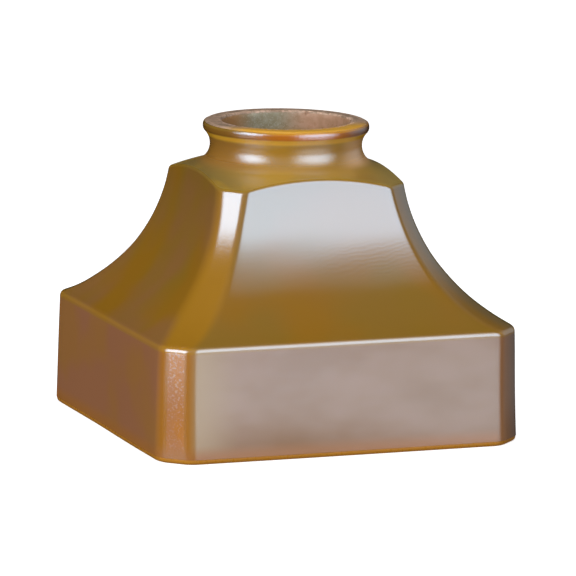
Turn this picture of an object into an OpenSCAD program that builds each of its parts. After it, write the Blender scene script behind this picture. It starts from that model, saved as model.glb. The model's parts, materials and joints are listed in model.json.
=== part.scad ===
// Square flared glass lamp shade with cut corners, a domed shoulder and a rolled round fitter lip.
// It stands on its open skirt. The origin is the centre of the base, +Z is up, and the flat sides face X and Y.

/* [Fitter] */
// Outside diameter of the rolled lip
lip_d = 56.4; // [56:0.1:57]
// Diameter of the opening through the neck
bore_d = 43.8; // [43:0.1:44.4]
// Radius of the lip's rolled edge
roll_r = 1.8; // [1.7:0.1:2]
// Height of the straight stretch at the widest part of the lip
lip_land = 0.8; // [0.8:0.1:1.2]
// How much of the roll's top is ground away to make the flat rim
rim_cut = 0.2; // [0.1:0.05:0.3]
// Radius of the hollow groove between the lip and the shoulder
groove_r = 6.7; // [6.5:0.1:6.9]

/* [Body] */
// Overall height
height = 103.6; // [103.4:0.1:104]
// Width across the flat sides at the base
base_w = 128.2; // [127:0.1:129]
// Height of the straight skirt
skirt_h = 38.7; // [37:0.1:40]
// How far each side of the skirt leans in from the base to its top
skirt_lean = 1.2; // [0.8:0.1:1.6]
// Width across the flat sides where the flared panels stand upright, under the shoulder
waist_w = 66; // [65:0.5:67]
// Radius of the flared panels' hollow curve
panel_r = 61; // [59:0.5:63]
// Radius of the domed shoulder
dome_r = 110; // [107:1:113]
// Height at which the dome would close over the neck
dome_h = 93.3; // [93.1:0.1:93.5]

/* [Cut corners] */
// Width across the cut corners at the base
corner_base_w = 169; // [168:0.2:170]
// Width across the cut corners at the waist
corner_waist_w = 81.2; // [80.4:0.2:82]
// Radius of the cut corners' hollow curve
corner_r = 62.4; // [60:0.2:64]

/* [Glass] */
// Thickness of the wall
wall = 3.5; // [3.2:0.1:3.8]
// Rounding of the ridge between the skirt and the flared panels
ridge_r = 2; // [1.8:0.1:2.4]
// Rounding of the same ridge round the cut corners
corner_ridge_r = 1.5; // [1:0.1:1.6]
// Rounding of the outer bottom edge
foot_r = 1.6; // [1.2:0.1:2]
// Thickness given to the lustre film
film = 0.2; // [0.15:0.05:0.25]

/* [Hidden] */
$fn = 180;

reach = 100;                       // past the shade in any direction
past = 1;                          // how far a cut runs past the face it opens
crossing_k = 1.01;                 // how much larger a rounding's circle is than one that only touches its faces
amber = "#a8782e";
bare_amber = "#d08f2c";
lustre = "#b39a6e";

lip_r = lip_d / 2;
bore_r = bore_d / 2;
shoulder_z = 81.5;                 // level joint between the flared body and the shoulder
film_foot = foot_r + 0.2;          // the film starts this far above the base
film_top = height - 0.6;           // and stops just under the ground rim
lean = skirt_lean / skirt_h;
outward = [1, lean] / norm([1, lean]);

// The point at distance r from p towards q.
function towards(p, q, r) = p + r * (q - p) / norm(q - p);
// Where a circle of radius a round p, on the axis, crosses a circle of radius b round q, on the outer side.
function crossing(p, a, q, b) =
    let (d = norm(q - p), along = (a * a - b * b + d * d) / (2 * d), aside = sqrt(a * a - along * along),
         u = (q - p) / d)
    p + along * u + aside * [u[1], -u[0]];
// Centre of a side's hollow arc: it meets the top of the skirt, and stands upright at the waist.
function arc_centre(base, waist, r) =
    let (x = waist / 2 + r)
    [x, skirt_h + sqrt(r * r - pow(x - base / 2 + skirt_lean, 2))];
// Centre of a ridge's rounding, which lies ridge inside both the leaning skirt and the hollow arc round c.
function ridge_centre(base, c, r, ridge) =
    let (x = base / 2 - ridge / outward[0], dx = c[0] - x, k = 1 + lean * lean, half = c[1] - lean * dx,
         z = (half - sqrt(half * half - k * (dx * dx + c[1] * c[1] - pow(r + ridge, 2)))) / k)
    [x - lean * z, z];

// Centres of the round parts of the crown's section. The groove touches both the dome and the lower roll of
// the lip, so the surface runs on smoothly.
dome_c = [0, dome_h - dome_r];
roll_c = [lip_r - roll_r, height + rim_cut - roll_r - lip_land];
groove_c = crossing(dome_c, dome_r + groove_r, roll_c, roll_r + groove_r);
neck_z = towards(groove_c, dome_c, groove_r)[1];
lip_z = towards(groove_c, roll_c, groove_r)[1];

// A long bar along Y with the given section.
module bar() {
    rotate([90, 0, 0]) linear_extrude(2 * reach, center = true) children();
}

// All between two opposite leaning sides, set in by t.
module leaning_pair(base, t) {
    foot = base / 2 - t / outward[0];
    low = foot + lean * past;
    high = foot - lean * (height + past);
    bar() polygon([[-low, -past], [low, -past], [high, height + past], [-high, height + past]]);
}

// The hollow above one side of the skirt, for a surface set in by t.
module scoop(base, waist, r, t) {
    c = arc_centre(base, waist, r);
    translate([c[0], 0, c[1]]) rotate([90, 0, 0]) cylinder(r = r + t, h = 2 * reach, center = true);
}

// What a rounding of radius r round c takes off an edge between faces that look along u and v. Its circle is a
// little larger than r, so that it crosses the two faces at a clear angle.
module edge_cut(c, r, u, v) {
    far = 2 * r;
    bar() difference() {
        polygon([c, c + far * u, c + far * (u + v), c + far * v]);
        translate(c) circle(r * crossing_k);
    }
}

// Roundings of one side's ridge and bottom edge, for a surface set in by t.
module side_roundings(base, waist, r, ridge, t) {
    c = arc_centre(base, waist, r);
    ridge_c = ridge_centre(base, c, r, ridge);
    foot_c = [base / 2 - foot_r / outward[0] - lean * (foot_r - t), foot_r - t];
    edge_cut(ridge_c, ridge - t, outward, towards(ridge_c, c, 1) - ridge_c);
    edge_cut(foot_c, foot_r - t, outward, [0, -1]);
}

// The eight-sided block and its hollow sides, set in by t.
module sides(t) {
    difference() {
        intersection() {
            leaning_pair(base_w, t);
            rotate(90) leaning_pair(base_w, t);
            rotate(45) leaning_pair(corner_base_w, t);
            rotate(135) leaning_pair(corner_base_w, t);
        }
        for (turn = [0 : 90 : 270]) {
            rotate(turn) scoop(base_w, waist_w, panel_r, t);
            rotate(turn + 45) scoop(corner_base_w, corner_waist_w, corner_r, t);
        }
    }
}

// A rectangle from the axis out to x, between two levels.
module band(x, low, high) {
    polygon([[0, low], [x, low], [x, high], [0, high]]);
}

// The dome's section, set in by t.
module dome_section(t) {
    intersection() {
        translate(dome_c) circle(dome_r - t);
        band(reach, -past, height);
    }
}

// The section of the neck's groove, set in by t.
module neck_section(t) {
    low = towards(groove_c, dome_c, groove_r + t)[1];
    high = towards(groove_c, roll_c, groove_r + t)[1];
    difference() {
        band(groove_c[0], low, high);
        translate(groove_c) circle(groove_r + t);
    }
}

// The section of the rolled lip, set in by t.
module lip_section(t) {
    low = towards(groove_c, roll_c, groove_r + t)[1];
    intersection() {
        band(lip_r, low, height);
        union() {
            band(roll_c[0], low, height);
            band(lip_r - t, roll_c[1], roll_c[1] + lip_land);
            for (up = [0, lip_land]) translate(roll_c + [0, up]) circle(roll_r - t);
        }
    }
}

// The whole outside, set in by t.
module outside(t) {
    difference() {
        intersection() {
            sides(t);
            rotate_extrude() {
                dome_section(t);
                neck_section(t);
                lip_section(t);
            }
            translate([-reach, -reach, 0]) cube([2 * reach, 2 * reach, height]);
        }
        for (turn = [0 : 90 : 270]) {
            rotate(turn) side_roundings(base_w, waist_w, panel_r, ridge_r, t);
            rotate(turn + 45) side_roundings(corner_base_w, corner_waist_w, corner_r, corner_ridge_r, t);
        }
    }
}

// The hollow inside, open at the base and through the neck.
module hollow() {
    intersection() {
        sides(wall);
        rotate_extrude() {
            dome_section(wall);
            band(bore_r, -past, height + past);
        }
    }
}

// All between two levels.
module slice(low, high) {
    translate([-reach, -reach, low]) cube([2 * reach, 2 * reach, high - low]);
}

// The glass between two levels.
module glass(low, high) {
    difference() {
        intersection() {
            outside(film);
            slice(low, high);
        }
        hollow();
    }
}

module skirt() {
    color(amber) glass(0, skirt_h);
}

module flared_body() {
    color(amber) glass(skirt_h, shoulder_z);
}

module shoulder() {
    color(amber) glass(shoulder_z, neck_z);
}

module neck() {
    color(amber) glass(neck_z, lip_z);
}

module fitter_lip() {
    color(bare_amber) glass(lip_z, height);
}

module lustre_film() {
    color(lustre) difference() {
        intersection() {
            outside(0);
            slice(film_foot, film_top);
        }
        outside(film);
    }
}

skirt();
flared_body();
shoulder();
neck();
fitter_lip();
lustre_film();
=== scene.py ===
"""Looks for the square flared art glass lamp shade: amber glass under a satin iridescent lustre."""

import json
import math

import bpy
import numpy as np
from mathutils import Matrix, Vector


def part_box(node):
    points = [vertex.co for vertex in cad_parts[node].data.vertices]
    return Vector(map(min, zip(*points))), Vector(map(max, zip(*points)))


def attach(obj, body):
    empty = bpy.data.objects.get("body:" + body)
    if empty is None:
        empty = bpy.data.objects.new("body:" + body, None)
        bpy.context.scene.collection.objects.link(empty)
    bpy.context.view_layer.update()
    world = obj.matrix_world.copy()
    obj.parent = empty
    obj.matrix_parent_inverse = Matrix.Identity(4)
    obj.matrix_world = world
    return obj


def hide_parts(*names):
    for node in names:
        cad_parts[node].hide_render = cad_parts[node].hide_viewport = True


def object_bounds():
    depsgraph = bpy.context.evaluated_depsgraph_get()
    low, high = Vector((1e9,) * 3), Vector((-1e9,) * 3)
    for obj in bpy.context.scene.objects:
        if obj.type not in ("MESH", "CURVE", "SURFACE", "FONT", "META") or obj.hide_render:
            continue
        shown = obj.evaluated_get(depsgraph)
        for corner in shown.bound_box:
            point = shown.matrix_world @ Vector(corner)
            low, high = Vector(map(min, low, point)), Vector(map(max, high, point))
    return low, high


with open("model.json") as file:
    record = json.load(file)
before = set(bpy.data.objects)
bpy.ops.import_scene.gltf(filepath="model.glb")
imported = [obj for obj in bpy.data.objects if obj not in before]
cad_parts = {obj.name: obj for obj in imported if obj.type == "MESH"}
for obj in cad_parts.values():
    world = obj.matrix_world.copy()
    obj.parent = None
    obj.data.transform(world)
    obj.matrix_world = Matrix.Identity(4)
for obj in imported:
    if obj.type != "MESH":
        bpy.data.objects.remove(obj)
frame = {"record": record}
CAD_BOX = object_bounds()

MM = 0.001
ROOT2 = math.sqrt(2)

# ---------------------------------------------------------------- sizes, in metres

MOUNTS = {m["name"]: m for m in frame["record"]["mounts"]}

HEIGHT = CAD_BOX[1].z
SKIRT_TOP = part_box("skirt")[1].z
FLARE_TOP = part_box("flared_body")[1].z
LIP_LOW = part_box("fitter_lip")[0].z
FILM_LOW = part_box("lustre_film")[0].z
FILM_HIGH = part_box("lustre_film")[1].z
LIP_R = MOUNTS["fitter_lip"]["dims"]["r_mm"] * MM
BORE_R = MOUNTS["neck_bore"]["dims"]["r_mm"] * MM

LEAN = 1.2 * MM / SKIRT_TOP                    # how far the skirt leans in for each metre of height
SIDE_BASE = CAD_BOX[1].x + LEAN * FILM_LOW     # from the axis to a flat side, at the base
SIDE_WAIST = 33 * MM                           # the same where the flared panels stand upright
SIDE_ARC = 61 * MM                             # radius of the flared panels
CORNER_BASE = 84.5 * MM                        # from the axis to a cut corner, at the base
CORNER_WAIST = 40.6 * MM
CORNER_ARC = 62.4 * MM
DOME_R = 110 * MM                              # radius of the domed shoulder
DOME_Z = 93.3 * MM - DOME_R                    # height of the dome's centre
GROOVE_R = 6.7 * MM                            # hollow groove under the lip
ROLL_R = 2.0 * MM                              # rolled edge of the lip
LIP_LAND = 0.4 * MM                            # straight stretch at the lip's widest
RIM_CUT = 0.2 * MM                             # what is ground off the roll's top

FILM = 0.2 * MM
WALL = 3.5 * MM
FOOT_R = 1.6 * MM                              # rounding of the bottom edge
RIDGE_R = 2.3 * MM                             # rounding of the ridge over the skirt
EDGE_SKIRT_R = 6.6 * MM                        # rounding of the upright edges, on the skirt
EDGE_FLARE_R = 4.6 * MM                        # the same under the shoulder
SHOULDER_REACH = 1.0 * MM                      # how far the shoulder's rounding reaches to each side
INSIDE_EDGE_R = 6 * MM                         # the same roundings on the inner surface
INSIDE_RIDGE_R = 7 * MM
INSIDE_REACH = 4 * MM
INSIDE_FOOT_R = 1.2 * MM
BORE_EDGE_R = 2 * MM                           # rounding between the ceiling and the bore
BRINK_R = 0.5 * MM                             # rounding of the rim's inner edge
CHIP_DEPTH = 0.55 * MM                         # of the deepest chips in the rim's inner edge
RIM_ROUGHNESS = 0.05 * MM
SHARP_ANGLE = math.radians(50)                 # edges bent by more than this are drawn sharp


# ---------------------------------------------------------------- colours

# The lustre's base colours, from the skirt up. They are mixed by clouds, or by place.
SKIRT_SAND = (0.50, 0.225, 0.065)
SKIRT_ROSE = (0.49, 0.21, 0.095)
SKIRT_BROWN = (0.39, 0.175, 0.04)
# A painted reflection: the pale clouds on the skirt's faces other than the left one.
SKIRT_PALE_REFLECTION = (0.465, 0.24, 0.11)
# A painted highlight at the left end of the skirt's front and back faces.
SKIRT_LEFT_END_HIGHLIGHT = (0.56, 0.34, 0.14)
# Painted light gathered in the glass, on the skirt's edge roundings and its foot.
SKIRT_EDGE_GLOW = (0.55, 0.215, 0.014)
SKIRT_FOOT_GLOW = (0.55, 0.22, 0.05)
CORNER_ORANGE = (0.66, 0.24, 0.02)
CORNER_RUST = (0.60, 0.23, 0.055)
# Painted glints on the skirt's cut corners.
CORNER_GLINT = (0.80, 0.55, 0.42)
# Painted shade: the right corner duller, and the flare of the far left corner darker.
RIGHT_SKIRT_SHADE_FRONT = (0.46, 0.21, 0.08)
RIGHT_SKIRT_SHADE_BACK = (0.27, 0.17, 0.12)
RIGHT_FLARE_SHADE_FRONT = (0.38, 0.20, 0.035)
RIGHT_FLARE_SHADE_BACK = (0.26, 0.175, 0.07)
FAR_LEFT_FLARE_SHADE = (0.27, 0.165, 0.035)
PANEL_GOLD = (0.39, 0.185, 0.012)
PANEL_OLIVE = (0.345, 0.19, 0.018)
PANEL_MAUVE = (0.37, 0.17, 0.055)
PANEL_CORNER = (0.46, 0.22, 0.013)
# Painted light gathered in the glass along the ridge over the skirt and round the shoulder.
RIDGE_GLOW_GOLD = (0.66, 0.35, 0.02)
DOME_GOLD = (0.57, 0.315, 0.022)
DOME_OLIVE = (0.48, 0.27, 0.035)
# Painted shade on the dome: darker and streaked at the left, duller and greener at the right.
DOME_LEFT_SHADE_DARK = (0.31, 0.205, 0.04)
DOME_LEFT_SHADE_LIGHT = (0.50, 0.29, 0.02)
DOME_RIGHT_SHADE = (0.44, 0.30, 0.065)
# Painted shade at the neck's left, and a painted reflection at its right.
NECK_LEFT_SHADE = (0.44, 0.21, 0.03)
NECK_MIDDLE = (0.54, 0.275, 0.015)
NECK_RIGHT_REFLECTION = (0.95, 0.53, 0.18)
# Painted light gathered in the glass under the lip and in the lip's middle, with painted shade at its sides.
UNDER_LIP_GLOW = (0.95, 0.50, 0.025)
LIP_LEFT_SHADE = (0.30, 0.14, 0.02)
LIP_MIDDLE_GLOW = (0.66, 0.20, 0.012)
LIP_RIGHT_SHADE = (0.26, 0.115, 0.04)
LIP_TOP_LEFT_SHADE = (0.34, 0.19, 0.03)
LIP_TOP_MIDDLE_GLOW = (0.84, 0.36, 0.012)
LIP_TOP_RIGHT_SHADE = (0.60, 0.28, 0.06)

# Bare glass.
FOOT_ORANGE = (0.66, 0.27, 0.02)
# Painted light and shade on the inner surface, with painted glints, and painted shade lower down.
INSIDE_BROWN = (0.56, 0.30, 0.12)
INSIDE_GREEN = (0.385, 0.365, 0.27)
INSIDE_DARK_GREEN = (0.31, 0.28, 0.18)
INSIDE_GLINT = (0.52, 0.50, 0.42)
INSIDE_ROSE = (0.56, 0.33, 0.22)
INSIDE_DARK_ROSE = (0.46, 0.26, 0.15)
INSIDE_YELLOW_SHADE = (0.42, 0.25, 0.06)
RIM_ROSE = (0.56, 0.38, 0.27)
RIM_BROWN = (0.36, 0.24, 0.16)
# Painted light through the glass at the rim's front, and painted glints along its chipped inner edge.
RIM_FRONT_GLOW = (0.85, 0.44, 0.05)
RIM_CHIP_GLINT = (0.95, 0.66, 0.50)

FILM_IOR = 2.5
FILM_TINT = (0.53, 0.76, 1, 1)
GLASS_IOR = 1.5
TABLE_BLACK = (0, 0, 0)
TABLE_GLOSS = (0.42, 0.385, 0.35)

# ---------------------------------------------------------------- the shade's outline and section


def make_columns():
    """What each column takes of its rounding's centre (near, far) and radius, for x and for y."""
    flat_n, edge_n, cut_n = 30, 8, 10
    first = []
    for f in np.linspace(-1, 1, flat_n, endpoint=False):
        first.append(((1, 0, 1), (0, f, 0), 0.0))
    for f in np.linspace(0, 1, edge_n, endpoint=False):
        a = f * math.pi / 4
        first.append(((1, 0, math.cos(a)), (0, 1, math.sin(a)), f))
    c = math.cos(math.pi / 4)
    for f in np.linspace(0, 1, cut_n, endpoint=False):
        first.append(((1 - f, f, c), (f, 1 - f, c), 1.0))
    for f in np.linspace(0, 1, edge_n, endpoint=False):
        a = (1 + f) * math.pi / 4
        first.append(((0, 1, math.cos(a)), (1, 0, math.sin(a)), 1 - f))
    take_x, take_y, edge = [np.array(v, float) for v in zip(*first)]
    quarters = [(take_x, take_y), (-take_y, take_x), (-take_x, -take_y), (take_y, -take_x)]
    cut_start = flat_n + edge_n
    stations = [0, flat_n, cut_start, cut_start + cut_n]
    softer = np.zeros((4, len(edge)))
    softer[2] = np.interp(np.arange(len(edge)), stations, [0, 1, 1, 0])
    take_x, take_y = [np.vstack([q[i] for q in quarters]) for i in (0, 1)]
    return take_x, take_y, np.tile(edge, 4), softer.ravel()


TAKE_X, TAKE_Y, EDGE, SOFTER = make_columns()
COLUMNS = len(EDGE)


def smooth(low, high, v):
    """0 up to low and 1 from high on, with a smooth change between."""
    f = np.clip((v - low) / (high - low), 0, 1)
    return f * f * (3 - 2 * f)


def outside_edge(z):
    """Rounding of the upright edges at height z, outside. One of them is softer than the others."""
    up = smooth(SKIRT_TOP - 2 * MM, SKIRT_TOP + 22 * MM, z)
    return (EDGE_SKIRT_R + (EDGE_FLARE_R - EDGE_SKIRT_R) * up) * (1 + SOFTER * (0.3 + 0.5 * up))


def inside_edge(z):
    """The same on the inner surface, where it doesn't change with height."""
    return INSIDE_EDGE_R + 0 * z


def outline(side, corner, r):
    """The eight-sided outline with rounded edges. side, corner and r may differ by column."""
    near = (side - r) * np.ones(COLUMNS)
    far = (ROOT2 * (corner - r) - (side - r)) * np.ones(COLUMNS)
    parts = np.stack([near, far, r * np.ones(COLUMNS)])
    return (TAKE_X.T * parts).sum(0), (TAKE_Y.T * parts).sum(0)


def wall_at(z, base, waist, arc, ridge, t):
    """How far a side or cut corner, set in by t, is from the axis at height z: skirt, ridge, hollow arc."""
    cx = waist + arc
    cz = SKIRT_TOP + math.sqrt(arc**2 - (cx - base + LEAN * SKIRT_TOP) ** 2)
    fz = SKIRT_TOP
    for _ in range(30):
        fx = base - LEAN * fz - t - ridge
        fz = cz - math.sqrt((arc + t + ridge) ** 2 - (cx - fx) ** 2)
    top = fz + ridge * (cz - fz) / (arc + t + ridge)
    straight = base - LEAN * z - t
    rounded = fx + np.sqrt(np.maximum(ridge**2 - (z - fz) ** 2, 0))
    hollow = cx - np.sqrt(np.maximum((arc + t) ** 2 - (cz - z) ** 2, 0))
    return np.where(z < fz, straight, np.where(z < top, rounded, hollow))


def wall_ring(z, t, edge, ridge):
    """One row of the wall. z is a height, or one for each column."""
    z = z * np.ones(COLUMNS)
    side = wall_at(z, SIDE_BASE, SIDE_WAIST, SIDE_ARC, ridge, t)
    corner = wall_at(z, CORNER_BASE, CORNER_WAIST, CORNER_ARC, ridge, t)
    inset = t if edge is outside_edge else 0
    x, y = outline(side, corner, edge(z) - inset)
    return np.stack([x, y, z], 1)


def dome_z(rho, t):
    """Height of the dome, set in by t, at distance rho from the axis."""
    return DOME_Z + np.sqrt((DOME_R - t) ** 2 - rho**2)


def foot_ring(z, inset, edge_r):
    """A level row near the base, set in from the leaning sides."""
    side = SIDE_BASE - LEAN * z - inset
    corner = CORNER_BASE - LEAN * z - inset
    x, y = outline(side, corner, edge_r)
    return np.column_stack([x, y, np.full(COLUMNS, z)])


def round_ring(r, z):
    """A level round row, with each column on the ray that its shoulder point is on."""
    return np.stack([r * RAY[:, 0], r * RAY[:, 1], z * np.ones(COLUMNS)], 1)


def round_row(r, z):
    """The same as a plain row of the crown, without an edge."""
    return round_ring(r, z), 0.0, 0.0


def shoulder_edge(t, edge, ridge):
    """Where the wall would meet the dome without a rounding, for each column."""
    z = np.full(COLUMNS, FLARE_TOP)
    for _ in range(40):
        p = wall_ring(z, t, edge, ridge)
        z = 0.5 * z + 0.5 * dome_z(np.hypot(p[:, 0], p[:, 1]), t)
    return wall_ring(z, t, edge, ridge)


def wall_rows(t, edge, ridge, low, flare_end):
    """Rows from height low up the skirt, closer together over the ridge, and up the flare to flare_end."""
    ridge_low, ridge_high = SKIRT_TOP - 2.8 * MM, SKIRT_TOP + 1.2 * MM
    mask_middle, mask_half = SKIRT_TOP - 0.9 * MM, 1.4 * MM
    rows = []
    for z in np.linspace(low, SKIRT_TOP - 3 * MM, 15):
        rows.append((wall_ring(z, t, edge, ridge), 0.0, 1.0))
    for z in np.linspace(ridge_low, ridge_high, 25):
        off = abs(z - mask_middle) / mask_half
        rows.append((wall_ring(z, t, edge, ridge), max(0.0, 1 - off**2), 1.0))
    for z in flare_end - (flare_end - ridge_high) * np.linspace(1, 0, 40)[1:] ** 1.15:
        rows.append((wall_ring(z, t, edge, ridge), 0.0, 1.0))
    return rows


def shoulder_rows(t, edge, ridge, reach, flare_end, top_r):
    """Rows from the flare over the rounded shoulder, and up the dome to radius top_r."""
    peak = shoulder_edge(t, edge, ridge)
    start_z = peak[:, 2] - reach
    rows = []
    for f in np.linspace(0, 1, 7)[1:]:
        rows.append((wall_ring(flare_end + (start_z - flare_end) * f, t, edge, ridge), 0.0, 1.0))
    start = rows[-1][0]
    rho = np.hypot(peak[:, 0], peak[:, 1])
    ray = peak[:, :2] / rho[:, None]
    end_rho = rho - reach
    end = np.column_stack([ray * end_rho[:, None], dome_z(end_rho, t)])
    weight = math.cos(math.radians(36))        # of the conic that rounds the shoulder
    for f in np.linspace(0, 1, 11)[1:]:
        a, b, c = (1 - f) ** 2, 2 * f * (1 - f) * weight, f**2
        level = 0.3 * math.sin(math.pi * f)
        rows.append(((a * start + b * peak + c * end) / (a + b + c), level, 1 - f))
    for f in np.linspace(0, 1, 10)[1:]:
        r = end_rho + (top_r - end_rho) * f
        rows.append((np.column_stack([ray * r[:, None], dome_z(r, t)]), 0.0, 0.0))
    return rows


def body_rows(t, edge, ridge, reach, low, top_r):
    """Rows from height low up the skirt and the flare, over the shoulder and the dome to radius top_r.
    Each row is (points, how much of an edge it is, how much its cut corners count)."""
    flare_end = FLARE_TOP - 3 * MM
    rows = wall_rows(t, edge, ridge, low, flare_end)
    return rows + shoulder_rows(t, edge, ridge, reach, flare_end, top_r)


def arc_rows(cx, cz, r, start, end, n):
    """Round rows along an arc of the section, from angle start to end, without the first."""
    turns = np.linspace(start, end, n)[1:]
    return [round_row(cx + r * math.cos(a), cz + r * math.sin(a)) for a in turns]


# The groove touches both the dome and the lower roll of the lip.
ROLL_X = LIP_R - ROLL_R
ROLL_TOP = HEIGHT + RIM_CUT - ROLL_R
ROLL_LOW = ROLL_TOP - LIP_LAND


def groove_centre():
    """Centre of the groove's arc: GROOVE_R outside the dome and GROOVE_R outside the lip's lower roll."""
    a, b = DOME_R + GROOVE_R, ROLL_R + GROOVE_R
    dx, dz = ROLL_X, ROLL_LOW - DOME_Z
    d = math.hypot(dx, dz)
    along = (a * a - b * b + d * d) / (2 * d)
    aside = math.sqrt(a * a - along * along)
    return (dx * along + dz * aside) / d, DOME_Z + (dz * along - dx * aside) / d


GROOVE_X, GROOVE_Z = groove_centre()
GROOVE_START = math.atan2(DOME_Z - GROOVE_Z, -GROOVE_X) + 2 * math.pi
GROOVE_END = math.atan2(ROLL_LOW - GROOVE_Z, ROLL_X - GROOVE_X)
NECK_R = GROOVE_X + GROOVE_R * math.cos(GROOVE_START)
RAY_POINT = shoulder_edge(0, outside_edge, RIDGE_R)[:, :2]
RAY = RAY_POINT / np.hypot(RAY_POINT[:, 0], RAY_POINT[:, 1])[:, None]


def groove_rows(t):
    """Rows round the neck's groove."""
    return arc_rows(GROOVE_X, GROOVE_Z, GROOVE_R + t, GROOVE_START, GROOVE_END, 22)


def roll_rows(t, top):
    """Rows round the rolled lip, from the groove up to height top."""
    roll = ROLL_R - t
    end = math.asin(min(1, (top - ROLL_TOP) / roll))
    rows = arc_rows(ROLL_X, ROLL_LOW, roll, GROOVE_END - math.pi, 0, 12)
    rows += [round_row(ROLL_X + roll, ROLL_TOP)]
    rows += arc_rows(ROLL_X, ROLL_TOP, roll, 0, end, 12)
    return rows


AWAY_X, AWAY_Y = 0.941, -0.339                 # level direction away from the fuller flank


def hand_made(p):
    """Where a point of the ideal shape lies on this one. Hand finished glass is never quite true: the crown
    leans a little to one side, one flank is fuller, and every face has long shallow waves."""
    x, y, z = p[:, 0] / MM, p[:, 1] / MM, p[:, 2] / MM
    across = AWAY_X * x + AWAY_Y * y
    crown = smooth(55, 84, z)
    body = 1 - crown
    wave = 0.0016 * np.sin(0.11 * z + 0.05 * x + 1.1)
    wave += 0.0012 * np.sin(0.083 * y - 0.06 * x + 0.4)
    wave += 0.0009 * np.sin(0.40 * z - 0.13 * x - 0.11 * y + 0.8) * smooth(42, 50, z)
    grow = 1 + wave * body
    fuller = 0.5 * smooth(5, 45, -across) * smooth(41, 46, z) * (1 - smooth(50, 60, z))
    dx = 0.08 * np.sin(0.13 * z + 0.07 * y) * body - AWAY_X * fuller
    dy = 0.08 * np.sin(0.12 * z - 0.06 * x + 2.0) * body - AWAY_Y * fuller
    dz = -across * (0.007 + 0.005 * np.exp(-(((z - 86) / 5) ** 2))) * crown
    return np.column_stack([(x * grow + dx) * MM, (y * grow + dy) * MM, (z + dz) * MM])


# ---------------------------------------------------------------- meshes


def add_object(name, data):
    """A new object in the scene."""
    made = bpy.data.objects.new(name, data)
    bpy.context.scene.collection.objects.link(made)
    return made


def make_piece(name, rows, material, nodes):
    """A closed piece from rows of points, joined round each row and from the last row to the first."""
    points = np.vstack([hand_made(p) for p, _, _ in rows])
    masks = {
        "ridge": np.concatenate([np.full(COLUMNS, level) for _, level, _ in rows]),
        "cut": np.concatenate([upright * EDGE for _, _, upright in rows]),
        "crown": np.concatenate([np.full(COLUMNS, 1 - upright) for _, _, upright in rows]),
    }
    faces = []
    for i in range(len(rows)):
        this = i * COLUMNS
        following = (i + 1) % len(rows) * COLUMNS
        for j in range(COLUMNS):
            n = (j + 1) % COLUMNS
            faces.append((this + j, this + n, following + n, following + j))
    mesh = bpy.data.meshes.new(name)
    mesh.from_pydata(points.tolist(), [], faces)
    for mask, values in masks.items():
        mesh.attributes.new(mask, "FLOAT", "POINT").data.foreach_set("value", values.astype(np.float32))
    mesh.polygons.foreach_set("use_smooth", [True] * len(faces))
    mesh.set_sharp_from_angle(angle=SHARP_ANGLE)
    mesh.materials.append(material)
    mesh.update()
    piece = add_object(name, mesh)
    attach(piece, "root")
    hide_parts(*nodes)
    return piece


# ---------------------------------------------------------------- materials


class Nodes:
    """Short calls for building a node tree."""

    def __init__(self, tree):
        self.tree = tree

    def node(self, kind, **values):
        made = self.tree.nodes.new(kind)
        for key, value in values.items():
            setattr(made, key, value)
        return made

    def link(self, source, target):
        self.tree.links.new(source, target)

    def spread(self, value, low, high, to_low=0.0, to_high=1.0):
        """value from low to high, smoothly stretched to the range to_low to to_high."""
        made = self.node("ShaderNodeMapRange", interpolation_type="SMOOTHSTEP")
        self.link(value, made.inputs["Value"])
        for key, v in zip(("From Min", "From Max", "To Min", "To Max"), (low, high, to_low, to_high)):
            made.inputs[key].default_value = v
        return made.outputs["Result"]

    def fall(self, value, low, high):
        """1 up to low and 0 from high on."""
        return self.spread(value, low, high, 1, 0)

    def maths(self, operation, a, b=0):
        made = self.node("ShaderNodeMath", operation=operation)
        for i, v in enumerate((a, b)):
            if isinstance(v, (int, float)):
                made.inputs[i].default_value = v
            else:
                self.link(v, made.inputs[i])
        return made.outputs[0]

    def plus(self, a, b):
        return self.maths("ADD", a, b)

    def minus(self, a, b):
        return self.maths("SUBTRACT", a, b)

    def times(self, a, b):
        return self.maths("MULTIPLY", a, b)


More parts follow.
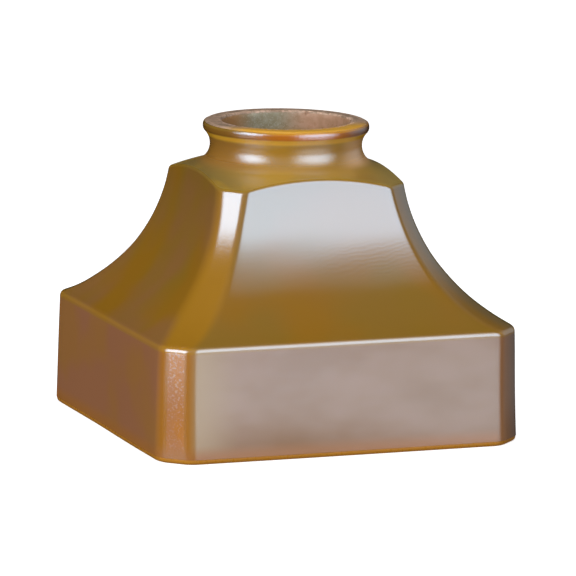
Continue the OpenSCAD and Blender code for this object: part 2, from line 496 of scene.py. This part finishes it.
class MaterialNodes(Nodes):
    """The nodes of a new material."""

    def __init__(self, name):
        self.material = bpy.data.materials.new(name)
        self.material.use_nodes = True
        super().__init__(self.material.node_tree)
        self.shader = self.tree.nodes["Principled BSDF"]
        self.object = self.node("ShaderNodeTexCoord").outputs["Object"]

    def noise(self, scale, detail=2, stretch=(1, 1, 1), roughness=0.5):
        """Noise with that many features for each metre."""
        mapping = self.node("ShaderNodeMapping")
        mapping.inputs["Scale"].default_value = stretch
        self.link(self.object, mapping.inputs["Vector"])
        made = self.node("ShaderNodeTexNoise")
        made.inputs["Scale"].default_value = scale
        made.inputs["Detail"].default_value = detail
        made.inputs["Roughness"].default_value = roughness
        self.link(mapping.outputs["Vector"], made.inputs["Vector"])
        return made.outputs["Fac"]

    def clouds(self, scale, low, high, detail=2, stretch=(1, 1, 1)):
        """Noise that is 0 up to low and 1 from high on."""
        return self.spread(self.noise(scale, detail, stretch), low, high)

    def attribute(self, name):
        return self.node("ShaderNodeAttribute", attribute_name=name).outputs["Fac"]

    def axis(self, name):
        """The object's x, y or z, in metres."""
        split = self.node("ShaderNodeSeparateXYZ")
        self.link(self.object, split.inputs[0])
        return split.outputs[name]

    def distance(self, point):
        """How far the surface is from a point, in metres."""
        made = self.node("ShaderNodeVectorMath", operation="DISTANCE")
        self.link(self.object, made.inputs[0])
        made.inputs[1].default_value = point
        return made.outputs["Value"]

    def mix(self, factor, a, b):
        """Colour a where factor is 0, and b where it is 1."""
        made = self.node("ShaderNodeMix", data_type="RGBA")
        self.link(factor, made.inputs["Factor"])
        for key, v in (("A", a), ("B", b)):
            target = [s for s in made.inputs if s.name == key and s.type == "RGBA"][0]
            if isinstance(v, tuple):
                target.default_value = (*v, 1)
            else:
                self.link(v, target)
        return [s for s in made.outputs if s.type == "RGBA"][0]

    def across(self, x, colours, stops):
        """Three colours from left to right. The changes run between the first two and the last two stops."""
        left, middle, right = colours
        a, b, c, d = [stop * MM for stop in stops]
        return self.mix(self.spread(x, c, d), self.mix(self.spread(x, a, b), left, middle), right)

    def bump(self, height, distance, strength=1.0, normal=None):
        made = self.node("ShaderNodeBump")
        made.inputs["Strength"].default_value = strength
        made.inputs["Distance"].default_value = distance
        self.link(height, made.inputs["Height"])
        if normal:
            self.link(normal, made.inputs["Normal"])
        return made.outputs["Normal"]

    def set(self, **values):
        """Set or link sockets of the main shader."""
        for key, value in values.items():
            socket = self.shader.inputs[key.replace("_", " ")]
            if hasattr(value, "links"):
                self.link(value, socket)
            else:
                socket.default_value = value


def panel_colour(n, flank, cut):
    """The flared panels: gold, with olive clouds, mauve ones mostly at the left, and warmer cut corners."""
    panels = n.mix(n.clouds(24, 0.4, 0.6), PANEL_GOLD, PANEL_OLIVE)
    mauve = n.times(n.clouds(26, 0.4, 0.62), n.spread(flank, 0, 1, 0.12, 0.75))
    panels = n.mix(mauve, panels, PANEL_MAUVE)
    return n.mix(n.spread(cut, 0.1, 0.9), panels, PANEL_CORNER)


def corner_colour_with_glints(n, x, y, z):
    """The skirt's cut corners: orange, with pale painted glints, strongest on the near corner and at the top.
    """
    orange = n.mix(n.clouds(150, 0.35, 0.65, stretch=(1, 1, 0.5)), CORNER_ORANGE, CORNER_RUST)
    # Pale painted glints, stronger at the top and on the near corner.
    glints = n.times(n.clouds(1300, 0.52, 0.68, detail=1), n.spread(z, 10 * MM, 36 * MM, 0.2, 0.85))
    glints = n.times(glints, n.spread(n.plus(x, y), -100 * MM, -60 * MM, 1, 0.3))
    return n.mix(glints, orange, CORNER_GLINT)


def skirt_colour(n, x, y, z, far_y, flank, cut):
    """The skirt: redder on the left face, pale clouds of painted reflection on the others, a painted
    highlight at the left end of the front and back, orange corners, and edge roundings and foot orange with
    painted light.
    """
    red = n.mix(n.clouds(30, 0.4, 0.6), SKIRT_SAND, SKIRT_ROSE)
    # Pale clouds of painted reflection, on every face but the left one.
    skirt_reflection = n.mix(n.clouds(34, 0.3, 0.7, stretch=(1, 1, 2)), SKIRT_BROWN, SKIRT_PALE_REFLECTION)
    skirt = n.mix(flank, skirt_reflection, red)
    # A painted highlight at the left end of the front and back faces.
    left_end_highlight = n.times(n.fall(x, -54 * MM, -36 * MM), n.spread(far_y, 58 * MM, 61 * MM))
    skirt = n.mix(left_end_highlight, skirt, SKIRT_LEFT_END_HIGHLIGHT)
    # The edge roundings, orange with painted light gathered in the glass.
    skirt = n.mix(n.spread(cut, 0.0, 0.8), skirt, SKIRT_EDGE_GLOW)
    skirt = n.mix(n.spread(cut, 0.9, 1.0), skirt, corner_colour_with_glints(n, x, y, z))
    # The foot, orange with painted light gathered in the bottom edge.
    return n.mix(n.spread(z, 1.8 * MM, 7 * MM), SKIRT_FOOT_GLOW, skirt)


def paint_shade_on_far_corners(n, x, y, cut, skirt, panels):
    """The skirt and panels with painted shade: duller on the right corner, and on the flare of the far left
    one.
    """
    along = n.plus(x, y)
    right_skirt_shade = n.mix(n.spread(along, -7 * MM, 8 * MM), RIGHT_SKIRT_SHADE_FRONT, RIGHT_SKIRT_SHADE_BACK)
    right_flare_shade = n.mix(n.spread(along, -6 * MM, 6 * MM), RIGHT_FLARE_SHADE_FRONT, RIGHT_FLARE_SHADE_BACK)
    # The right corner, which gets the painted shade.
    right = n.times(n.spread(x, 20 * MM, 24 * MM), n.fall(y, -24 * MM, -20 * MM))
    right = n.times(right, n.spread(cut, 0.0, 0.6))
    # The far left corner's flare, which gets painted shade.
    far_left_shade = n.times(n.fall(x, -24 * MM, -20 * MM), n.spread(y, 20 * MM, 24 * MM))
    far_left_shade = n.times(far_left_shade, n.spread(cut, 0.0, 0.5))
    panels = n.mix(right, panels, right_flare_shade)
    return n.mix(right, skirt, right_skirt_shade), n.mix(far_left_shade, panels, FAR_LEFT_FLARE_SHADE)


def dome_colour(n, x):
    """The dome: gold and olive clouds, with painted shade, streaked at the left, and duller and greener at
    the right.
    """
    dome = n.mix(n.clouds(45, 0.4, 0.62), DOME_GOLD, DOME_OLIVE)
    # Painted shade: streaked and darker at the left, duller and greener at the right.
    left_shade_streaks = n.mix(n.clouds(60, 0.4, 0.62, stretch=(2.2, 0.8, 1)), DOME_LEFT_SHADE_DARK, DOME_LEFT_SHADE_LIGHT)
    dome = n.mix(n.fall(x, -34 * MM, -16 * MM), dome, left_shade_streaks)
    return n.mix(n.spread(x, 16 * MM, 30 * MM), dome, DOME_RIGHT_SHADE)


def add_neck_and_lip(n, x, z, colour):
    """The colour with the neck, the bright line under the lip, the lip and its top laid over it. The bright
    line and the middles of the lip and its top are painted light gathered in the glass, with painted shade at
    the sides.
    """
    # A painted reflection at the neck's right, and painted shade at its left.
    neck = n.mix(n.spread(x, 8 * MM, 20 * MM), NECK_MIDDLE, NECK_RIGHT_REFLECTION)
    neck = n.mix(n.fall(x, -24 * MM, -14 * MM), neck, NECK_LEFT_SHADE)
    # The lip and its top: painted light in the middle, painted shade at the sides.
    lip = n.across(x, (LIP_LEFT_SHADE, LIP_MIDDLE_GLOW, LIP_RIGHT_SHADE), (-27, -10, 6, 22))
    top = n.across(x, (LIP_TOP_LEFT_SHADE, LIP_TOP_MIDDLE_GLOW, LIP_TOP_RIGHT_SHADE), (-27, -8, 8, 26))
    colour = n.mix(n.spread(z, FLARE_TOP + 7 * MM, FLARE_TOP + 10 * MM), colour, neck)
    # The bright line under the lip: painted light gathered in the glass.
    colour = n.mix(n.spread(z, LIP_LOW - 1.8 * MM, LIP_LOW - 0.6 * MM), colour, UNDER_LIP_GLOW)
    colour = n.mix(n.spread(z, LIP_LOW + 0.1 * MM, LIP_LOW + 0.8 * MM), colour, lip)
    return n.mix(n.spread(z, HEIGHT - 1.6 * MM, HEIGHT - 0.8 * MM), colour, top)


def lustre_colour(n, x, y, z, cut, ridge):
    """Gold panels with olive and mauve clouds, a skirt with pale painted reflections, a golden dome, and a
    lip and ridges golden with painted light gathered in the glass.
    """
    far_y = n.maths("ABSOLUTE", y)
    flank = n.spread(n.minus(n.times(x, -1), far_y), -6 * MM, 6 * MM)
    skirt = skirt_colour(n, x, y, z, far_y, flank, cut)
    skirt, panels = paint_shade_on_far_corners(n, x, y, cut, skirt, panel_colour(n, flank, cut))
    colour = n.mix(n.spread(z, SKIRT_TOP - 2.5 * MM, SKIRT_TOP + 1 * MM), skirt, panels)
    colour = n.mix(n.attribute("crown"), colour, dome_colour(n, x))
    colour = add_neck_and_lip(n, x, z, colour)
    # Golden ridges: painted light gathered in the glass along them.
    return n.mix(n.spread(ridge, 0.2, 1, 0, 0.4), colour, RIDGE_GLOW_GOLD)


def lustre_roughness(n, z, cut):
    """Satin: dullest on the dome, and glossiest on the lip and the skirt's cut corners."""
    satin = n.spread(n.attribute("crown"), 0.6, 1, 0.18, 0.36)
    neck = n.spread(z, FLARE_TOP + 8 * MM, FLARE_TOP + 12 * MM, 0, 0.15)
    lip = n.spread(z, LIP_LOW + 0.2 * MM, LIP_LOW + 1.0 * MM, 0, 0.09)
    corner = n.times(n.spread(cut, 0.8, 1, 0, 0.07), n.fall(z, 28 * MM, 37 * MM))
    return n.minus(n.minus(satin, neck), n.plus(lip, corner))


def lustre_grain(n, z, cut, ridge):
    """Fine grain on the cut corners, fading out towards the shoulder, and on the neck and lip."""
    by_height = n.plus(n.spread(z, 66 * MM, 78 * MM, 0.25, 0.03), n.spread(z, 34 * MM, 44 * MM, 0.1, 0))
    level = n.times(n.spread(cut, 0.3, 1, 0.03, 1), by_height)
    level = n.times(level, n.spread(ridge, 0.1, 0.8, 1, 0.1))
    level = n.plus(level, n.spread(z, 90 * MM, 93 * MM, 0, 0.35))
    return n.times(n.noise(1900, roughness=0.7), level)


def lustre_ripple(n, x, z):
    """Narrow, nearly level ripples round the upper middle of the panels, broken up, stronger at the right."""
    slope = n.plus(n.times(z, 4300), n.times(x, -800))
    ripple = n.maths("SINE", n.plus(slope, n.times(n.noise(60, 3), 50)))
    level = n.times(n.spread(z, 55 * MM, 58 * MM), n.fall(z, 65 * MM, 70 * MM))
    level = n.times(level, n.spread(n.noise(60), 0.36, 0.56, 0.15, 1))
    level = n.times(level, n.spread(x, -12 * MM, 12 * MM, 0.3, 1))
    return n.times(ripple, level)


def lustre_material():
    """Satin iridescent film: a pale blue gloss over many amber colours."""
    n = MaterialNodes("lustre")
    x, y, z = n.axis("X"), n.axis("Y"), n.axis("Z")
    cut = n.attribute("cut")
    ridge = n.attribute("ridge")
    n.set(Base_Color=lustre_colour(n, x, y, z, cut, ridge), Roughness=lustre_roughness(n, z, cut))
    n.set(IOR=FILM_IOR, Specular_Tint=FILM_TINT)
    normal = n.bump(lustre_grain(n, z, cut, ridge), 0.2 * MM)
    normal = n.bump(lustre_ripple(n, x, z), 0.0032 * MM, normal=normal)
    n.set(Normal=n.bump(n.noise(160, stretch=(1, 1, 6)), 0.01 * MM, normal=normal))
    return n.material


def inside_colour(n):
    """The inner surface, painted with light and shade: brown, grey green and rose from left to right, with
    pale painted glints, and darker and yellower lower down.
    """
    middle = n.mix(n.clouds(480, 0.3, 0.7, detail=3), INSIDE_GREEN, INSIDE_DARK_GREEN)
    # Pale painted glints.
    middle = n.mix(n.spread(n.noise(1700, 1), 0.56, 0.7, 0, 0.7), middle, INSIDE_GLINT)
    rose = n.mix(n.clouds(480, 0.3, 0.7, detail=3), INSIDE_ROSE, INSIDE_DARK_ROSE)
    # Painted light and shade, from left to right.
    colour = n.across(n.axis("X"), (INSIDE_BROWN, middle, rose), (-14, -3, 3, 15))
    # Painted shade: darker and yellower lower down.
    return n.mix(n.spread(n.axis("Z"), HEIGHT - 9.5 * MM, HEIGHT - 5 * MM), INSIDE_YELLOW_SHADE, colour)


def amber_material():
    """The bare glass: orange at the foot, where light gathers in the edge, and brown to rose inside with
    painted light and shade.
    """
    n = MaterialNodes("amber_glass")
    colour = n.mix(n.spread(n.axis("Z"), 2 * MM, 5 * MM), FOOT_ORANGE, inside_colour(n))
    n.set(Base_Color=colour, Roughness=n.spread(n.noise(900), 0.3, 0.7, 0.25, 0.4), IOR=GLASS_IOR)
    n.set(Normal=n.bump(n.noise(1800), 0.03 * MM, 0.5))
    return n.material


def rim_material():
    """The ground rim: rose brown and chipped, with painted glints along its inner edge, amber in front with
    painted light through the glass, and the inside's colours below.
    """
    n = MaterialNodes("rim_glass")
    y = n.axis("Y")
    ground = n.mix(n.clouds(500, 0.4, 0.62, detail=3), RIM_ROSE, RIM_BROWN)
    # Amber in front: painted light through the glass.
    ground = n.mix(n.spread(y, -20 * MM, -8 * MM), RIM_FRONT_GLOW, ground)
    # Painted glints along the chipped inner edge, weaker at the back.
    chip_glints = n.times(n.attribute("ridge"), n.clouds(800, 0.45, 0.6))
    chip_glints = n.times(chip_glints, n.spread(y, -10 * MM, 8 * MM, 1, 0.45))
    ground = n.mix(chip_glints, ground, RIM_CHIP_GLINT)
    top = n.spread(n.axis("Z"), HEIGHT - 1.0 * MM, HEIGHT - 0.5 * MM)
    n.set(Base_Color=n.mix(top, inside_colour(n), ground), IOR=GLASS_IOR)
    n.set(Roughness=n.spread(n.noise(900), 0.3, 0.7, 0.3, 0.5))
    n.set(Normal=n.bump(n.noise(1500), 0.06 * MM, 0.8))
    return n.material


def pale_material():
    """The floor: plain and white."""
    n = MaterialNodes("pale_floor")
    shade = n.mix(n.noise(1.5), (0.9, 0.9, 0.9), (0.93, 0.93, 0.93))
    n.set(Base_Color=shade, Roughness=0.9, Emission_Color=(1, 1, 1, 1), Emission_Strength=0.75)
    return n.material


# ---------------------------------------------------------------- the shade


def shade_rows():
    """All rows of the glass body, outside then inside, from the foot round to the foot."""
    t = FILM
    foot_r = FOOT_R - t
    rows = []
    for a in np.linspace(-math.pi / 2, 0, 7):
        z = foot_r * (1 + math.sin(a))
        inset = t + foot_r * (1 - math.cos(a))
        rows.append((foot_ring(z, inset, outside_edge(z) - t), 0.5, 1.0))
    rows += body_rows(t, outside_edge, RIDGE_R - t, SHOULDER_REACH - t, foot_r + 0.4 * MM, NECK_R)
    rows += groove_rows(t)

    ceiling_r = BORE_R + BORE_EDGE_R
    ceiling_z = dome_z(ceiling_r, WALL)
    inside = body_rows(WALL, inside_edge, INSIDE_RIDGE_R, INSIDE_REACH, INSIDE_FOOT_R, ceiling_r)
    inside += arc_rows(ceiling_r, ceiling_z + BORE_EDGE_R, BORE_EDGE_R, -math.pi / 2, -math.pi, 7)
    bore_low = ceiling_z + BORE_EDGE_R + 1.5 * MM
    inside += [round_row(BORE_R, z) for z in np.linspace(bore_low, LIP_LOW, 5)]
    rows += inside[::-1]

    for a in np.linspace(0, math.pi / 2, 5)[1:]:
        z = INSIDE_FOOT_R * (1 - math.sin(a))
        inset = WALL - INSIDE_FOOT_R * (1 - math.cos(a))
        rows.append((foot_ring(z, inset, INSIDE_EDGE_R), 0.0, 0.0))
    return rows


CHANCE = np.random.default_rng(5)
CHIPS = CHANCE.uniform(0, 1, COLUMNS) ** 3 * CHIP_DEPTH         # one for each column, mostly slight


def chipped(p, inward):
    """A row of the ground rim with its roughness, and with the inner edge's chips as far as inward says."""
    out = p[:, :2] / np.hypot(p[:, 0], p[:, 1])[:, None]
    chip = CHIPS * smooth(0.4, 1, inward)
    rough = CHANCE.uniform(0, RIM_ROUGHNESS, COLUMNS)
    return np.column_stack([p[:, :2] + out * chip[:, None], p[:, 2] - 0.5 * chip - rough])


def lip_rows():
    """All rows of the lip's glass: up the roll, over the ground rim, and down the bore."""
    t = FILM
    rows = [round_row(GROOVE_X + (GROOVE_R + t) * math.cos(GROOVE_END), LIP_LOW)]
    rows += roll_rows(t, HEIGHT)
    brink_r = BORE_R + BRINK_R
    brink_z = HEIGHT - BRINK_R
    ground = [round_ring(r, HEIGHT) for r in np.linspace(ROLL_X, brink_r, 7)[1:]]
    ground += [p for p, _, _ in arc_rows(brink_r, brink_z, BRINK_R, math.pi / 2, math.pi, 5)]
    last = len(ground) - 1
    rows += [(chipped(p, i / last), float(last - 5 <= i), 0.0) for i, p in enumerate(ground)]
    rows += [round_row(BORE_R, z) for z in np.linspace(brink_z, LIP_LOW, 5)[1:]]
    return rows


def film_face(t):
    """Rows of one face of the film, set in by t, from its lower edge to its upper one."""
    rows = body_rows(t, outside_edge, RIDGE_R - t, SHOULDER_REACH - t, FILM_LOW, NECK_R)
    return rows + groove_rows(t) + roll_rows(t, FILM_HIGH)


def lustre_rows():
    """All rows of the film, up its outer face and down its inner one."""
    return film_face(0) + film_face(FILM)[::-1]


amber = amber_material()
rim = rim_material()
lustre = lustre_material()

GLASS_NODES = ["skirt", "flared_body", "shoulder", "neck"]
make_piece("shade_glass", shade_rows(), amber, GLASS_NODES)
make_piece("lip_glass", lip_rows(), rim, ["fitter_lip"])
make_piece("lustre_skin", lustre_rows(), lustre, ["lustre_film"])

# ---------------------------------------------------------------- floor, light and camera


def make_floor():
    """The white floor, which only the camera sees."""
    size = 8.0
    corners = [(-size, -size, 0), (size, -size, 0), (size, size, 0), (-size, size, 0)]
    mesh = bpy.data.meshes.new("floor")
    mesh.from_pydata(corners, [], [(0, 1, 2, 3)])
    mesh.materials.append(pale_material())
    floor = add_object("floor", mesh)
    floor.visible_glossy = False
    floor.visible_diffuse = False
    floor.visible_shadow = False


def table_polish(n):
    """How polished the table is: duller at the left, under the shade and far out, and a little cloudy."""
    beside = n.distance((-0.155, -0.075, 0))
    middle = n.distance((0, 0, 0))
    polish = n.spread(beside, 0.04, 0.11, 0.03, 1)
    polish = n.times(polish, n.spread(middle, 0.075, 0.18, 0.3, 1))
    polish = n.times(polish, n.spread(middle, 0.28, 0.42, 1, 0.15))
    return n.times(polish, n.spread(n.noise(22, 1, (1, 0.4, 1)), 0.3, 0.7, 0.85, 1.15))


def make_table():
    """The dark top under the shade, which only reflections see. The camera sees the floor instead."""
    n = MaterialNodes("dark_table")
    gloss = n.node("ShaderNodeBsdfAnisotropic")
    gloss.inputs["Roughness"].default_value = 0.15
    n.link(n.mix(table_polish(n), TABLE_BLACK, TABLE_GLOSS), gloss.inputs["Color"])
    n.link(gloss.outputs["BSDF"], n.tree.nodes["Material Output"].inputs["Surface"])
    radius, sides, z = 0.6, 64, -0.5 * MM
    turns = [2 * math.pi * i / sides for i in range(sides)]
    points = [(radius * math.cos(a), radius * math.sin(a), z) for a in turns]
    mesh = bpy.data.meshes.new("table")
    mesh.from_pydata(points, [], [list(range(sides))])
    mesh.materials.append(n.material)
    table = add_object("table", mesh)
    table.visible_camera = False
    table.visible_diffuse = False


def towards_sky(azimuth, elevation):
    """The direction of a point seen from the shade. Azimuth 0 is in front, and positive to the right."""
    a, e = math.radians(azimuth), math.radians(elevation)
    return Vector((math.sin(a) * math.cos(e), -math.cos(a) * math.cos(e), math.sin(e)))


def make_light(name, azimuth, elevation, distance, width, height, radiance):
    """An area light facing the shade, unseen in reflections. Its brightness is power / (pi * area)."""
    data = bpy.data.lights.new(name, "AREA")
    data.shape = "RECTANGLE"
    data.size, data.size_y = width, height
    data.energy = radiance * math.pi * width * height
    light = add_object(name, data)
    back = towards_sky(azimuth, elevation)
    light.location = Vector((0, 0, HEIGHT / 2)) + back * distance
    light.rotation_mode = "QUATERNION"
    light.rotation_quaternion = (-back).to_track_quat("-Z", "Y")
    light.visible_camera = False
    light.visible_glossy = False
    return light


def make_softbox(name, azimuth, half, soft, low, high, full, fade, radiance):
    """An upright softbox that only reflections see, half to each side and from elevation low to high. Each
    side dims over twice soft, and above elevation full it fades, to half at a height of fade."""
    distance = 1.2
    width = 2 * distance * math.tan(math.radians(half + soft))
    bottom, top, full_z = [distance * math.tan(math.radians(e)) for e in (low, high, full)]
    tall = top - bottom
    light = make_light(name, azimuth, 0, distance, width, tall, radiance)
    light.location.z += (top + bottom) / 2
    light.visible_glossy = True
    light.visible_diffuse = False
    light.data.use_nodes = True
    n = Nodes(light.data.node_tree)
    split = n.node("ShaderNodeSeparateXYZ")
    n.link(n.node("ShaderNodeNewGeometry").outputs["Parametric"], split.inputs[0])
    across, up = split.outputs["X"], split.outputs["Y"]
    plateau = 0.5 * math.tan(math.radians(half - soft)) / math.tan(math.radians(half + soft))
    sides = n.fall(n.maths("ABSOLUTE", n.minus(across, 0.5)), plateau, 0.5)
    above = n.maths("DIVIDE", n.maths("MAXIMUM", n.minus(up, (full_z - bottom) / tall)), fade / tall)
    falling = n.maths("DIVIDE", 1, n.plus(1, n.times(above, above)))
    ends = n.times(n.spread(up, 0, 0.05), n.fall(up, 0.8, 1))
    strength = n.times(n.times(sides, falling), ends)
    n.link(strength, n.tree.nodes["Emission"].inputs["Strength"])


def make_world():
    """A dim white surrounding that reflections don't see, and a white background for the camera."""
    surrounding, background_white = 0.3, 1.02
    world = bpy.data.worlds.new("studio")
    world.use_nodes = True
    tree = world.node_tree
    background = tree.nodes["Background"]
    background.inputs["Color"].default_value = (1, 1, 1, 1)
    path = tree.nodes.new("ShaderNodeLightPath")
    strength = tree.nodes.new("ShaderNodeMapRange")
    tree.links.new(path.outputs["Is Camera Ray"], strength.inputs["Value"])
    strength.inputs["To Min"].default_value = surrounding
    strength.inputs["To Max"].default_value = background_white
    tree.links.new(strength.outputs["Result"], background.inputs["Strength"])
    world.cycles_visibility.glossy = False
    bpy.context.scene.world = world


def make_camera():
    """A long lens at the front left, slightly rolled, aimed aim_right and aim_up of the origin."""
    azimuth, elevation, distance = -19.8, 11.3, 2.1127
    roll = math.radians(0.55)
    aim_right, aim_up = 0.00164, 0.04506
    sensor_mm, lens_mm = 36, 387.0
    back = towards_sky(azimuth, elevation)
    right = Vector((0, 0, 1)).cross(back).normalized()
    up = back.cross(right)
    rolled_right = right * math.cos(roll) + up * math.sin(roll)
    up = up * math.cos(roll) - right * math.sin(roll)
    location = back * distance
    back = (location - rolled_right * aim_right - up * aim_up).normalized()
    right = up.cross(back).normalized()
    up = back.cross(right)
    data = bpy.data.cameras.new("camera")
    data.sensor_width = sensor_mm
    data.lens = lens_mm
    data.clip_start, data.clip_end = 0.05, 100
    camera = add_object("camera", data)
    turn = Matrix((right, up, back)).transposed()
    camera.matrix_world = Matrix.Translation(location) @ turn.to_4x4()
    bpy.context.scene.camera = camera


make_floor()
make_table()
make_world()
make_softbox("key", azimuth=25, half=25, soft=10, low=-9, high=62, full=26, fade=0.34, radiance=3.6)
make_softbox("left", azimuth=-72, half=17, soft=7, low=0, high=45.5, full=34, fade=0.12, radiance=5.3)
make_softbox("right", azimuth=100, half=22, soft=10, low=-9, high=50, full=20, fade=0.3, radiance=0.5)
make_light("fill", azimuth=-42, elevation=25, distance=1.5, width=1.2, height=1.2, radiance=3.1)
make_light("overhead", azimuth=-20, elevation=75, distance=1.5, width=1.2, height=1.2, radiance=1.0)
make_camera()

bpy.context.scene.view_settings.view_transform = "Standard"
